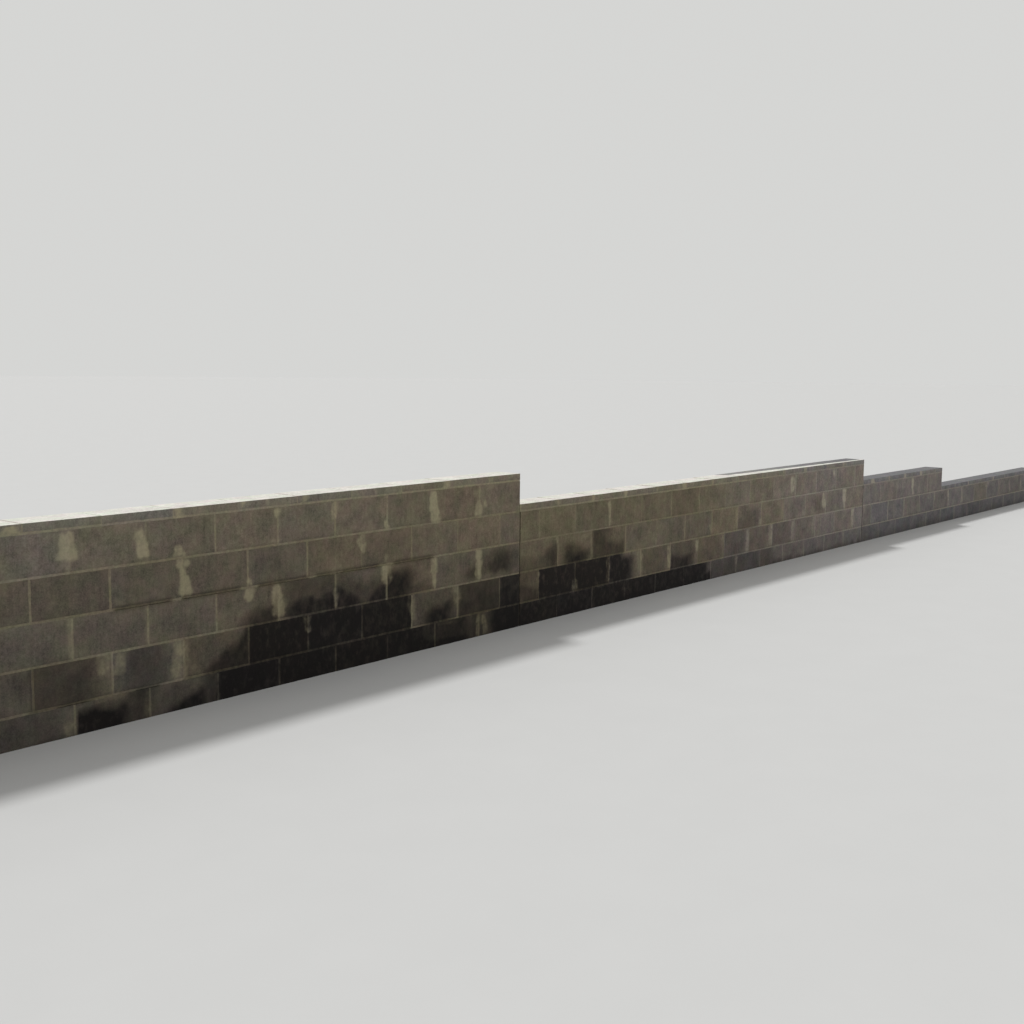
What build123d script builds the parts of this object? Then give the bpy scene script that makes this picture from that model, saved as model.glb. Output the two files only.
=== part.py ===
"""Stepped retaining wall of concrete blocks, laid in four bays under capping tiles.

The frame has X along the wall, Y across it and Z up. The origin is at ground level, in the
middle of the wall's length and thickness. The exposed face looks along -Y, and the retained
soil would lie against the face that looks along +Y.
"""

import os

from build123d import *

# Blocks and mortar, in millimetres
block_length = 390
block_height = 190
wall_thickness = 190
mortar_joint = 10
mortar_recess = 3
buried_height = 45

# Capping tiles
cap_thickness = 40
cap_tile_length = 387
cap_edge_radius = 3
tight_tile_joint = 3
open_tile_joint = 13
bay_1_cut_tile = 298
bay_3_cut_tile = 187

# Control joints between the bays
control_joint = 10
sealant_depth = 12
sealant_setback = 5
sealant_hollow = 2

# Bays, from left to right, and their heights in courses
bay_1_length = 5190
bay_2_length = 5190
bay_3_length = 1990
bay_4_length = 3200
bay_4_courses = 2
step_courses = 1

# Sizes worked out from those above
course_pitch = block_height + mortar_joint
half_block = (block_length - mortar_joint) / 2
core_thickness = wall_thickness - 2 * mortar_recess
bay_3_courses = bay_4_courses + step_courses
bay_2_courses = bay_3_courses + step_courses
bay_1_courses = bay_2_courses + step_courses


# Ends of the bays along X
overall_length = bay_1_length + bay_2_length + bay_3_length + bay_4_length + 2 * control_joint
bay_1_left = -overall_length / 2
bay_1_right = bay_1_left + bay_1_length
bay_2_left = bay_1_right + control_joint
bay_2_right = bay_2_left + bay_2_length
bay_3_left = bay_2_right + control_joint
bay_3_right = bay_3_left + bay_3_length
bay_4_right = bay_3_right + bay_4_length


def course_top(number):
    """Level of the top of a course's blocks, counted from 1 at the ground."""
    return number * course_pitch - mortar_joint - buried_height


def course_foot(number):
    """Level where a course's mortar bed starts, or the ground under the first course."""
    if number == 1:
        return 0
    return course_top(number - 1)


def unit_spans(start, end, first, whole, joint):
    """Middle and length of each block or tile, from a first one at start to the last at end.

    The last one is cut to what is left. A remainder thinner than the struck back mortar gets none.
    """
    towards = 1 if end > start else -1
    reach = abs(end - start)
    spans = []
    laid = 0
    length = first
    while reach - laid > mortar_recess:
        length = min(length, reach - laid)
        spans.append((start + towards * (laid + length / 2), length))
        laid += length + joint
        length = whole
    return spans


def write(piece, name):
    """Labels a finished piece and writes it to its own file."""
    piece.label = name
    export_step(piece, f"parts/{name}.step")


def make_course(name, left, right, number, left_free=False, right_free=False):
    """One course: blocks on a bed, with mortar struck back between, under and beside them.

    Every second course starts with a half block, so that the joints are bonded.
    """
    foot = course_foot(number)
    top = course_top(number)
    block_foot = foot if number == 1 else foot + mortar_joint
    core_left = left + (mortar_recess if left_free else 0)
    core_right = right - (mortar_recess if right_free else 0)
    first_block = block_length if number % 2 == 1 else half_block
    with BuildPart() as course:
        with BuildSketch(Plane.XY.offset(foot)):
            with Locations(((core_left + core_right) / 2, 0)):
                Rectangle(core_right - core_left, core_thickness)
        extrude(amount=top - foot)
        with BuildSketch(Plane.XY.offset(block_foot)):
            for middle, length in unit_spans(left, right, first_block, block_length, mortar_joint):
                with Locations((middle, 0)):
                    Rectangle(length, wall_thickness)
        extrude(amount=top - block_foot)
    write(course.part, name)


def make_capping(name, foot, core_left, right, spans):
    """Capping tiles on their bed, with mortar struck back between them and at the free end."""
    tile_foot = foot + mortar_joint
    core_right = right - mortar_recess
    with BuildPart() as capping:
        with BuildSketch(Plane.XY.offset(foot)):
            with Locations(((core_left + core_right) / 2, 0)):
                Rectangle(core_right - core_left, core_thickness)
        extrude(amount=mortar_joint + cap_thickness - mortar_recess)
        for middle, length in spans:
            with BuildSketch(Plane.YZ.offset(middle)) as section:
                with Locations((0, tile_foot + cap_thickness / 2)):
                    Rectangle(wall_thickness, cap_thickness)
                fillet(section.vertices().group_by(Axis.Z)[-1], radius=cap_edge_radius)
            extrude(amount=length / 2, both=True)
    write(capping.part, name)


def make_seal(name, middle, face, inwards, height):
    """Sealant in a control joint, set back from the face, with a tooled hollow in its front."""
    front = face + inwards * sealant_setback
    back = front + inwards * sealant_depth
    left = middle - control_joint / 2
    right = middle + control_joint / 2
    with BuildPart() as seal:
        with BuildSketch(Plane.XY):
            with BuildLine():
                ThreePointArc((left, front), (middle, front + inwards * sealant_hollow), (right, front))
                Polyline((right, front), (right, back), (left, back), (left, front))
            make_face()
        extrude(amount=height)
    write(seal.part, name)


def make_filler(name, middle, height):
    """Compressible board that fills a control joint between its two lines of sealant."""
    depth = wall_thickness - 2 * (sealant_setback + sealant_depth)
    with BuildPart() as filler:
        with BuildSketch(Plane.XY):
            with Locations((middle, 0)):
                Rectangle(control_joint, depth)
        extrude(amount=height)
    write(filler.part, name)


def make_control_joint(name, left, height):
    """Filler board and both lines of sealant of one control joint."""
    middle = left + control_joint / 2
    make_filler(f"{name}_filler", middle, height)
    make_seal(f"{name}_front_seal", middle, -wall_thickness / 2, 1, height)
    make_seal(f"{name}_back_seal", middle, wall_thickness / 2, -1, height)


os.makedirs("parts", exist_ok=True)

# Bay 1, the highest
for number in range(1, bay_1_courses + 1):
    make_course(f"bay_1_course_{number}", bay_1_left, bay_1_right, number, left_free=True)

# Bay 2
for number in range(1, bay_2_courses + 1):
    make_course(f"bay_2_course_{number}", bay_2_left, bay_2_right, number)

# Bays 3 and 4, whose lower courses run through without a break
for number in range(1, bay_4_courses + 1):
    make_course(f"bays_3_4_course_{number}", bay_3_left, bay_4_right, number, right_free=True)
for number in range(bay_4_courses + 1, bay_3_courses + 1):
    make_course(f"bay_3_course_{number}", bay_3_left, bay_3_right, number)

# Capping of each bay. Bay 1 is laid from its cut tile at the step, with tight joints. The
# lower bays are laid from a joint against the step.
bay_1_tiles = unit_spans(bay_1_right, bay_1_left, bay_1_cut_tile, cap_tile_length, tight_tile_joint)
make_capping(
    "bay_1_capping", course_top(bay_1_courses), bay_1_left + mortar_recess, bay_1_right, bay_1_tiles
)
for name, courses, step, right, first_tile in (
    ("bay_2_capping", bay_2_courses, bay_1_right, bay_2_right, cap_tile_length),
    ("bay_3_capping", bay_3_courses, bay_2_right, bay_3_right, bay_3_cut_tile),
    ("bay_4_capping", bay_4_courses, bay_3_right, bay_4_right, cap_tile_length),
):
    tiles = unit_spans(step + open_tile_joint, right, first_tile, cap_tile_length, open_tile_joint)
    make_capping(name, course_top(courses), step, right, tiles)

# Control joints, each as high as the lower of the two bays beside it
make_control_joint("joint_1", bay_1_right, course_top(bay_2_courses))
make_control_joint("joint_2", bay_2_right, course_top(bay_3_courses))
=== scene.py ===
"""Looks of the block retaining wall: each course of blocks, each row of capping tiles and each
line of sealant is one closed skin that stands for its CAD node. Mortar smears and damp are soft
marks on the front. Places along the wall are counted from the first control joint."""
import math

import bpy
import numpy as np
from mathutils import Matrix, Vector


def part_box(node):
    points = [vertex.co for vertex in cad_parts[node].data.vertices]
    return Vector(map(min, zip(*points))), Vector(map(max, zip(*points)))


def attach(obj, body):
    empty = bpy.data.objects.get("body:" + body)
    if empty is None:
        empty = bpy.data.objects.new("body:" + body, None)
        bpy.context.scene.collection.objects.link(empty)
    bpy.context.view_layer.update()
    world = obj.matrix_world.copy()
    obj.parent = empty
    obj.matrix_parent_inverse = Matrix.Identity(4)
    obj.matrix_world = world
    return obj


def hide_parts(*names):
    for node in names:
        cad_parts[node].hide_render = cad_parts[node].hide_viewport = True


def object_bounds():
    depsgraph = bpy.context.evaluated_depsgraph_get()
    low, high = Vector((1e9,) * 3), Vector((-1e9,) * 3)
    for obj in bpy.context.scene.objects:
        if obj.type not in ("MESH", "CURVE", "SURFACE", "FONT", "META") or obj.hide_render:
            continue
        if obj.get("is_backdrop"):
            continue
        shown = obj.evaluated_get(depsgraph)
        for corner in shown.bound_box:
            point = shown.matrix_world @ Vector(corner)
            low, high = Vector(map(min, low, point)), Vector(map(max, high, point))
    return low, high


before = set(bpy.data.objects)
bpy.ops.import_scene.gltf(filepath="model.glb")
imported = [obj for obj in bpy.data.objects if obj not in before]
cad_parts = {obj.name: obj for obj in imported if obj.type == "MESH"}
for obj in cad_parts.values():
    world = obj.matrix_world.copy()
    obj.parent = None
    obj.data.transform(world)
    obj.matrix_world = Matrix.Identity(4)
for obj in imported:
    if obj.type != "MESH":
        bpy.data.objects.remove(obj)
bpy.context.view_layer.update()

# Blocks, tiles and joints, in metres
BLOCK_LENGTH = 0.390
BLOCK_HEIGHT = 0.190
HALF_BLOCK = 0.190
TILE_LENGTH = 0.387
JOINT = 0.010
TIGHT_TILE_JOINT = 0.003
OPEN_TILE_JOINT = 0.013
BAY_1_CUT_TILE = 0.298
BAY_3_CUT_TILE = 0.187

# Surface relief, in metres
FACE_SETBACK = 0.0015
FACE_SETBACK_RANGE = 0.0007
FACE_LEAN = 0.0006
ARRIS_RADIUS = 0.0024
TOP_ARRIS_RADIUS = ARRIS_RADIUS * 0.7
OUTER_RADIUS = 0.0030
MORTAR_DEPTH = 0.0026
MORTAR_HOLLOW = 0.0008
MORTAR_LAP = 0.0013
RAKED_DEPTH = 0.0065
THINNEST_CUT = 0.004
SMEAR_THICKNESS = 0.0011
SMEAR_BASE = 0.0005
CHIP_DEPTH = 0.003
CHIP_REACH = 0.006
CHIP_SPACING = 0.028
CHIP_RANGE = (0.60, 1.0)
END_SETBACK = 0.0004
TILE_SETBACK = 0.0004
TILE_SETBACK_RANGE = 0.0008
TILE_MORTAR_DEPTH = 0.0030
TILE_MORTAR_LAP = 0.004
BEAD_HOLLOW = 0.0024

# Waves on the surfaces: their height and their spacing, in metres
ARRIS_WAVE = (0.0006, 0.035)
FACE_WAVE = (0.0003, 0.050)
FACE_RIPPLE = (0.0002, 0.021)
MORTAR_WAVE = (0.0009, 0.060)
MORTAR_RIPPLE = (0.0005, 0.020)
END_WAVE = (0.0003, 0.040)
TILE_WAVE = (0.0003, 0.060)
TILE_MORTAR_WAVE = (0.0012, 0.040)
BEAD_WAVE = (0.0008, 0.050)
BEAD_RIPPLE = (0.0004, 0.014)

# Darkening of the raked beds, a broad stain in the mortar and a narrow painted shadow under the arris
# above: strength, how far above the bed's middle, and spread in metres
RAKED_STAINS_AND_SHADOWS = ((0.38, 0.000, 0.015), (0.46, 0.008, 0.006))
RAKED_FADE = 0.04

# How plainly an upright joint shows, at least, at most, and where it was wiped over
JOINT_STRENGTHS = (0.70, 1.0)
FAINTEST_JOINT = 0.50
RIM_REACH = 0.024

# Soft dark line along the foot of each unit: its strength, height and spread
FOOT_SHADE = 0.20
FOOT_SHADE_HEIGHT = 0.005
FOOT_SHADE_SPREAD = 0.008

# Random swing, from unit to unit, of its lightness, warmth and patina
LIGHT_SWING = 0.03
WARM_SWING = 0.16
OLIVE_SWING = 0.08

# Edges of the smears: how far they wander, as a share of the half width, and at which spacings
SMEAR_WANDER = 0.20
SMEAR_SPACINGS = (0.060, 0.026)

# Ends of the smears, in shares of the unit's height: how they wander, and how far they fade beyond
# the end and within it. A smear thinner than the thinnest leaves the surface as it is.
SMEAR_END_WAVE = (0.05, 0.040)
SMEAR_END_FADE = (0.14, 0.08)
THINNEST_SMEAR = 0.15

# Edges of the damp: how far it fades out at a joint and elsewhere, how close to a joint an edge
# meets it, and how far it then spreads
DAMP_FADE_AT_JOINT = 0.004
DAMP_FADE = 0.080
DAMP_JOINT_REACH = 0.025
DAMP_SPREAD = 0.010

# How the damp wanders, sideways and at its top, and how far a patch fades below and above its top
# level and its foot level, in shares of the unit's height
DAMP_WANDER = (0.004, 0.06)
DAMP_TOP_WAVE = (0.11, 0.07)
DAMP_TOP_RIPPLE = (0.05, 0.03)
DAMP_TOP_FADE = (0.26, 0.20)
DAMP_FOOT_FADE = (0.16, 0.18)

# Shape of the cubic lattice noise: its shift, the factors of its hash, and the hash's size
LATTICE_SHIFT = 31.7
HASH_FACTORS = (127.1, 311.7, 74.7)
HASH_SEED_FACTOR = 19.19
HASH_SIZE = 43758.5453

# Noises of the finishes: waves per metre, detail and roughness
NOISES = {
    "cloud": (9.0, 2.0, 0.55), "mottle": (46.0, 3.0, 0.60), "speck": (130.0, 2.0, 0.60),
    "grain": (420.0, 2.0, 0.70), "streak": (65.0, 3.0, 0.60), "patina": (5.0, 3.0, 0.55),
    "sand": (500.0, 2.0, 0.70), "lumps": (62.0, 3.0, 0.60), "ragged": (40.0, 5.0, 0.65),
    "age": (4.0, 2.0, 0.55), "haze": (13.0, 3.0, 0.55), "lap": (9.0, 3.0, 0.60),
    "gaps": (22.0, 4.0, 0.70), "hue": (12.0, 3.0, 0.60), "drift": (28.0, 4.0, 0.62),
    "margin": (9.0, 2.0, 0.55), "dust": (60.0, 4.0, 0.65), "ripples": (180.0, 2.0, 0.55),
    "fibres": (120.0, 3.0, 0.55), "floor": (3.0, 2.0, 0.55),
}

# Where each mark of the finishes sets in on its own scale, and where it is whole
EDGES = {
    "pore": (0.08, 0.30), "pored": (0.42, 0.60), "pale": (0.25, 0.85), "painted_sun_strip": (-0.006, 0.006),
    "smear": (0.10, 0.90), "haze": (0.34, 0.64), "lap": (-0.0014, 0.0014), "joint": (0.35, 0.65),
    "gaps": (0.50, 0.70), "hue": (0.34, 0.66), "margin": (0.35, 0.60), "dust": (0.35, 0.75),
}

# Bumps of the finishes: height in metres and strength
BUMPS = {
    "mortar": (0.0012, 0.6), "grain": (0.0014, 0.8), "ripples": (0.0008, 0.6), "fibres": (0.0006, 0.5),
}

# Scattered pores, and how far at most the noises shift from unit to unit along each axis, in metres
PORES_PER_METRE = 170.0
UNIT_SHIFT = (7.0, 3.0, 5.0)

# Spacing of the grid lines of a skin, in metres
FACE_STEP = 0.012
TILE_STEP = 0.016
DEPTH_STEP = 0.030
BEAD_STEP = 0.012
LINES_BESIDE_JOINT = (0.0012, 0.0035)
LINES_BESIDE_TILE = (0.0012, 0.0042, 0.0080)
LINES_BESIDE_CORNER = (0.0019, OUTER_RADIUS, 0.012)
SHARP_ANGLE = math.radians(55)

# Camera, from corners of the blocks in the photograph
CAMERA_PLACE = (-8.908, -5.204, 1.733)
CAMERA_YAW = math.radians(50.61)
CAMERA_PITCH = math.radians(-6.94)
CAMERA_ROLL = math.radians(0.58)
CAMERA_LENS = 44.88
SENSOR_WIDTH = 36.0
CLIP_END = 500.0

joint_1_low, joint_1_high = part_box("joint_1_filler")
JOINT_1_X = (joint_1_low.x + joint_1_high.x) / 2

# How much of bay 1 the photograph shows, in metres left of that joint
SHOWN_LENGTH = 3.6

# Tone of each course, each as a pair for its left and right end: how light it is, the lower courses
# darker partly by grime and partly by painted shade; how warm, from 0 for grey to 1 for brown; and
# how much olive patina it has
WEATHER_AND_SHADE = {
    "bay_1_course_5": (0.98, 0.99, 0.56, 0.90, 0.35, 0.18),
    "bay_1_course_4": (0.70, 0.91, 0.64, 0.94, 0.15, 0.18),
    "bay_1_course_3": (0.79, 0.79, 0.64, 0.86, 0.20, 0.18),
    "bay_1_course_2": (0.72, 0.64, 0.56, 0.75, 0.10, 0.15),
    "bay_1_course_1": (0.70, 0.52, 0.60, 0.68, 0.00, 0.00),
    "bay_2_course_4": (0.83, 1.32, 1.02, 0.56, 0.60, 0.05),
    "bay_2_course_3": (0.88, 1.30, 0.98, 0.56, 0.35, 0.05),
    "bay_2_course_2": (0.90, 1.38, 0.92, 0.42, 0.15, 0.00),
    "bay_2_course_1": (0.72, 1.25, 0.60, 0.27, 0.00, 0.00),
    "bay_3_course_3": (1.27, 1.24, 0.27, 0.34, 0.05, 0.00),
    "bays_3_4_course_2": (1.14, 1.05, 0.27, 0.38, 0.05, 0.00),
    "bays_3_4_course_1": (0.95, 0.90, 0.00, 0.00, 0.00, 0.00),
    "bay_1_capping": (0.96, 1.00, 0.58, 0.83, 0.25, 0.20),
    "bay_2_capping": (0.94, 1.16, 0.86, 0.40, 0.40, 0.05),
    "bay_3_capping": (1.10, 1.14, 0.12, 0.18, 0.05, 0.05),
    "bay_4_capping": (0.94, 0.96, 0.00, 0.10, 0.00, 0.00),
}

# Blocks that are lighter or darker than their course, by their middle, each with its factor
OWN_LIGHT = {
    "bay_1_course_5": ((-1.4, 1.12), (-2.2, 1.07)),
    "bay_1_course_4": ((-0.4, 1.12),),
    "bay_2_course_4": ((0.1, 1.16), (0.4, 1.11), (2.0, 0.88), (3.6, 1.08), (4.0, 1.10)),
    "bay_2_course_3": ((2.2, 0.88),),
}

# How much painted sunlight lies on the top of a capping, at its left and right end; elsewhere the
# top is painted shade
PAINTED_SUN_ON_TOPS = {"bay_1_capping": (1.00, 1.00), "bay_2_capping": (0.40, 0.00)}

# Strip of full painted sunlight along the front of a capping's top: places along the wall, each with
# how far the strip reaches back from the front there
PAINTED_SUN_STRIP = {"bay_2_capping": ((2.70, 0.210), (2.80, 0.100), (5.19, 0.032))}

# Pale mortar smears on the front. Each is a stroke: the place of its foot along the wall, height and
# half width there; how far its top lies along from its foot, height and half width there; and its
# strength. Lengths are in millimetres, and heights and strengths in hundredths of the whole.
STROKE_UNITS = (1000, 100, 1000, 1000, 100, 1000, 100)
SMEARS = {
    "bay_1_course_5": [
        (-3210, 25, 54, -6, 98, 26, 95), (-3212, 0, 12, 0, 26, 16, 50), (-2808, 10, 46, -38, 84, 30, 100),
        (-2612, 0, 40, -10, 32, 20, 85), (-2000, 74, 26, 0, 96, 32, 90), (-2020, 0, 46, 0, 22, 28, 55),
        (-1610, 45, 20, 10, 100, 34, 70), (-1540, 92, 50, 40, 100, 60, 40), (-1190, 0, 26, -25, 26, 14, 85),
        (-800, 0, 48, -10, 58, 42, 100), (-810, 50, 40, -8, 97, 28, 100), (-410, 0, 38, 5, 46, 28, 90),
        (-405, 46, 24, 10, 100, 18, 50), (-345, 25, 22, -10, 55, 20, 66), (-430, 64, 30, 0, 86, 20, 45),
        (-300, 86, 40, 30, 98, 30, 60), (-1080, 88, 50, 20, 100, 50, 45), (-1000, 84, 20, 10, 98, 20, 40),
        (-4000, 10, 40, -10, 80, 28, 90), (-4405, 50, 22, -5, 100, 30, 70), (-4800, 0, 40, 10, 60, 24, 80),
    ],
    "bay_1_course_4": [
        (-2576, 6, 42, -18, 56, 28, 100), (-2598, 50, 20, -6, 80, 18, 90),
        (-2600, 76, 42, -4, 100, 38, 100), (-2990, 0, 30, 0, 22, 12, 45), (-2945, 4, 30, -20, 26, 15, 50),
        (-3310, 20, 18, 20, 56, 26, 40), (-3450, 8, 34, 10, 26, 26, 30), (-2192, 0, 24, -3, 24, 16, 100),
        (-2000, 4, 30, 0, 30, 20, 35), (-2340, 35, 20, 50, 75, 34, 30), (-1585, 0, 58, -27, 46, 20, 50),
        (-1385, 44, 18, -10, 76, 40, 90), (-1405, 70, 46, 5, 100, 36, 75), (-1505, 85, 30, 45, 100, 40, 40),
        (-1200, 0, 30, -10, 32, 20, 45), (-1210, 30, 18, 0, 100, 18, 22), (-800, 0, 20, 0, 100, 20, 22),
        (-500, 0, 120, 0, 12, 100, 25), (-375, 55, 20, -10, 88, 30, 45), (-460, 74, 120, 0, 100, 150, 20),
        (-390, 0, 18, 0, 50, 14, 30), (-205, 0, 14, -10, 100, 28, 42), (-3800, 0, 30, -10, 50, 20, 70),
        (-4200, 40, 30, 0, 100, 36, 80),
    ],
    "bay_1_course_3": [
        (-2200, 66, 28, 10, 100, 36, 100), (-1998, 8, 44, 2, 56, 52, 90), (-2008, 50, 42, -10, 100, 27, 90),
        (-1200, 40, 26, -5, 62, 44, 80), (-1205, 55, 46, 0, 100, 40, 100), (-805, 0, 14, -3, 50, 22, 90),
        (-806, 46, 34, 0, 100, 36, 95), (-410, 3, 32, 5, 40, 36, 100), (-405, 30, 34, 5, 100, 38, 100),
        (-270, 46, 18, 0, 70, 22, 60), (-3210, 76, 40, 10, 100, 50, 30), (-3208, 0, 18, -4, 100, 20, 60),
        (-2806, 0, 17, 0, 100, 17, 50), (-1597, 0, 22, 0, 60, 22, 85), (-1596, 56, 14, 0, 100, 14, 50),
        (-2955, 66, 60, 25, 94, 30, 25), (-850, 10, 60, -50, 80, 40, 20), (-3610, 0, 30, 10, 80, 34, 75),
        (-4410, 30, 36, 10, 100, 26, 80),
    ],
    "bay_1_course_2": [
        (-3026, 0, 34, -18, 52, 42, 34), (-3044, 45, 42, -6, 100, 44, 72), (-2978, 0, 30, 16, 52, 40, 32),
        (-2962, 45, 40, 10, 100, 44, 72), (-2625, 0, 64, 3, 55, 58, 68), (-2622, 45, 56, 10, 100, 50, 76),
        (-2530, 0, 50, -30, 60, 30, 45), (-1800, 10, 18, 0, 60, 22, 50), (-1800, 50, 30, -6, 100, 32, 70),
        (-990, 16, 36, -10, 56, 36, 50), (-1000, 50, 36, 0, 100, 34, 54), (-600, 22, 34, 0, 55, 44, 32),
        (-602, 45, 46, -8, 100, 54, 62), (-660, 4, 40, 20, 36, 20, 26), (-3810, 0, 34, 5, 100, 40, 70),
        (-4600, 20, 30, 0, 100, 36, 60),
    ],
    "bay_1_course_1": [
        (-3212, 20, 34, -16, 62, 42, 62), (-3236, 55, 36, 8, 92, 22, 32), (-2810, 28, 26, 0, 90, 30, 48),
        (-2400, 26, 30, 0, 60, 20, 35), (-2410, 50, 30, 0, 100, 40, 30), (-2970, 88, 120, 0, 100, 130, 50),
        (-2530, 74, 40, 20, 100, 30, 40), (-340, 30, 28, -20, 94, 24, 75), (-412, 26, 24, 2, 94, 24, 65),
        (-660, 88, 110, 0, 100, 120, 60), (-1200, 50, 20, 0, 100, 20, 25),
        (-3600, 26, 20, -10, 100, 20, 40), (-4400, 26, 34, 10, 100, 26, 60),
    ],
    "bay_2_course_4": [
        (1005, 2, 20, -7, 52, 22, 80), (998, 50, 22, -6, 100, 22, 80), (810, 60, 20, -15, 100, 12, 40),
        (1185, 84, 20, 0, 100, 20, 35), (1805, 4, 20, -5, 100, 20, 35), (3800, 34, 20, -4, 100, 22, 50),
        (2195, 8, 15, -10, 72, 20, 45), (3745, 18, 34, -5, 86, 42, 85), (4560, 62, 24, -10, 96, 28, 90),
        (4545, 10, 18, 15, 62, 13, 35), (2980, 30, 20, 0, 100, 20, 20), (4950, 28, 30, 0, 90, 30, 25),
        (210, 10, 30, -20, 80, 20, 25), (80, 30, 50, 30, 75, 30, 25),
    ],
    "bay_2_course_3": [
        (700, 76, 50, 35, 96, 40, 45), (690, 22, 24, 50, 50, 30, 35), (391, 0, 17, 0, 100, 17, 62),
        (790, 0, 17, -2, 100, 17, 62), (1990, 4, 20, -5, 92, 15, 45), (2390, 5, 15, -15, 46, 24, 60),
        (2380, 44, 20, 10, 100, 15, 50), (2785, 8, 15, 0, 96, 20, 60), (3180, 2, 30, 0, 36, 26, 60),
        (3575, 0, 30, -5, 100, 24, 50), (3910, 86, 30, 0, 100, 30, 40), (3970, 0, 36, -5, 36, 28, 60),
        (4375, 22, 28, -20, 56, 44, 100), (4355, 50, 42, -5, 98, 22, 100), (4800, 0, 28, -10, 42, 30, 70),
        (4790, 36, 36, -10, 100, 50, 95), (120, 20, 30, 0, 70, 20, 20),
    ],
    "bay_2_course_2": [
        (596, 0, 44, -6, 44, 28, 85), (995, 4, 22, -10, 52, 26, 70), (990, 50, 28, -5, 100, 28, 80),
        (1390, 0, 45, 10, 52, 30, 48), (1400, 44, 34, -5, 86, 38, 62), (1380, 80, 40, -10, 100, 40, 60),
        (1300, 0, 50, -10, 46, 36, 35), (1790, 4, 32, -5, 56, 34, 80), (1780, 45, 32, -5, 100, 28, 74),
        (2150, 14, 20, 30, 56, 26, 50), (2180, 50, 26, -5, 96, 24, 90), (2585, 8, 15, -5, 100, 17, 60),
        (2965, 5, 30, 10, 100, 22, 65), (3370, 5, 40, 5, 62, 40, 65), (3375, 50, 40, 0, 100, 38, 60),
        (3760, 0, 24, 10, 100, 26, 60), (4160, 18, 20, 10, 100, 22, 50), (4980, 10, 24, -10, 52, 34, 80),
        (4975, 46, 34, 5, 100, 34, 80), (168, 0, 40, -16, 50, 30, 42), (190, 55, 20, 4, 100, 24, 60),
    ],
    "bay_2_course_1": [
        (805, 28, 14, 5, 100, 20, 35), (1200, 60, 30, 0, 100, 40, 35), (2800, 56, 24, -5, 100, 32, 62),
        (3190, 28, 30, -20, 100, 20, 40), (3600, 28, 14, 0, 100, 14, 10), (3990, 28, 28, -10, 100, 20, 40),
        (4200, 40, 30, 0, 100, 20, 25),
    ],
    "bay_3_course_3": [
        (6425, 4, 24, -23, 44, 30, 70), (6400, 40, 34, -5, 96, 30, 90), (7190, 0, 26, -5, 24, 26, 40),
    ],
    "bays_3_4_course_2": [
        (5235, 66, 20, -7, 100, 30, 60), (5800, 5, 20, 0, 100, 18, 40), (6200, 5, 15, -5, 96, 20, 55),
        (6610, 8, 14, -10, 100, 22, 45), (6870, 68, 60, 0, 100, 60, 50), (7010, 48, 16, 0, 100, 30, 50),
        (7430, 5, 28, -20, 60, 28, 70), (7408, 50, 28, -16, 100, 20, 80), (7830, 8, 30, -10, 100, 36, 60),
        (8600, 68, 60, 0, 100, 60, 50), (9050, 8, 20, 0, 100, 30, 40), (9100, 84, 60, 20, 100, 80, 40),
        (9800, 20, 30, 10, 90, 24, 50),
    ],
    "bays_3_4_course_1": [
        (7620, 28, 28, 0, 100, 20, 40), (6800, 60, 40, 0, 100, 40, 30),
    ],
    "bay_1_capping": [
        (-3490, 0, 56, 10, 72, 30, 90), (-2600, -30, 30, -15, 100, 30, 100),
        (-2228, 30, 14, 3, 100, 20, 80), (-1820, 0, 20, 20, 100, 30, 70), (-1080, 0, 40, -10, 62, 30, 40),
        (-705, 0, 32, 15, 100, 30, 90), (-300, 0, 20, 0, 80, 30, 60), (-50, 0, 30, -10, 60, 20, 50),
        (-4200, 0, 30, -10, 100, 24, 80),
    ],
    "bay_2_capping": [
        (410, 10, 30, -20, 100, 28, 70), (795, -20, 20, 5, 100, 16, 80), (1185, -30, 16, 5, 100, 26, 100),
        (1985, -30, 28, -15, 100, 34, 90), (2390, 0, 18, 0, 100, 16, 60), (3570, 10, 28, 0, 100, 20, 70),
        (3975, -20, 28, -5, 100, 34, 90), (4750, 10, 28, 0, 100, 20, 70),
    ],
    "bay_3_capping": [
        (5420, -10, 50, -10, 100, 44, 100), (5810, 0, 20, -10, 100, 24, 80),
        (6200, -10, 28, -10, 100, 30, 90), (6610, -10, 30, -10, 96, 34, 100),
    ],
    "bay_4_capping": [
        (8000, 0, 20, 0, 100, 20, 60), (8810, -10, 24, 5, 100, 24, 90), (9210, 0, 18, 0, 100, 16, 50),
    ],
}

# Bed joints whose mortar was left well back: height of the bed, and from and to along the wall
RAKED_BEDS = [
    (0.55, -3.00, -2.64), (0.55, -2.62, -2.23), (0.55, -2.15, -1.78), (0.55, -1.76, -1.24),
    (0.55, -1.17, -0.80), (0.35, -4.90, -3.90), (0.15, -3.30, -3.10), (0.15, -2.90, -2.72),
]

# Upright joints that hardly show, because they were wiped over
FAINT_JOINTS = {
    "bay_1_course_5": (-3.2, -2.8),
    "bay_1_course_4": (-1.4, -0.6, -0.2),
    "bay_1_course_1": (-1.2,),
    "bay_2_course_4": (0.2, 0.6, 1.4, 2.6, 3.4),
    "bay_2_course_3": (1.6, 3.6),
    "bay_2_course_2": (0.2, 4.6),
    "bay_2_course_1": (0.4, 1.2, 2.0),
    "bay_3_course_3": (5.6, 6.0),
    "bays_3_4_course_2": (5.4, 6.6, 8.2),
    "bays_3_4_course_1": (5.6, 6.4, 8.4),
}

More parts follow.
